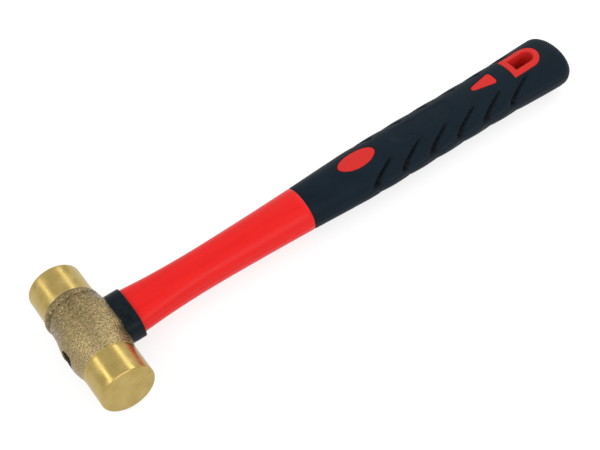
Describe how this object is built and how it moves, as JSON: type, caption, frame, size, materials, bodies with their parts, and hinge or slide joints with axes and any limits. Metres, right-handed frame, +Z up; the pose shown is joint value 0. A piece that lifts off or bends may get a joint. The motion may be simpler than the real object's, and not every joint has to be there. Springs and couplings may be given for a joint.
{
  "type": "brass mallet",
  "caption": "Brass hammer head with turned striking faces on a red and black moulded handle with a fibreglass core and a hanging hole.",
  "frame": {"origin": "centre of the underside of the bounding box, on the surface that the tool lies on", "axes": "+X along the handle from the head to the butt, Y along the striking axis, +Z up out of the surface it lies on"},
  "size_m": [0.3267, 0.081, 0.0342],
  "materials": {
    "brass_cast": "sand-cast barrel, turned and polished ends",
    "black_resin": "cured epoxy",
    "fibreglass": "pultruded rod",
    "red_plastic": "satin moulded",
    "black_plastic": "moulded ring",
    "black_rubber": "fine matt texture"
  },
  "bodies": {
    "root": {"head": "brass_cast", "eye_resin": "black_resin", "core_rod": "fibreglass", "handle_jacket": "red_plastic", "collar": "black_plastic", "grip": "black_rubber"}
  },
  "joints": []
}
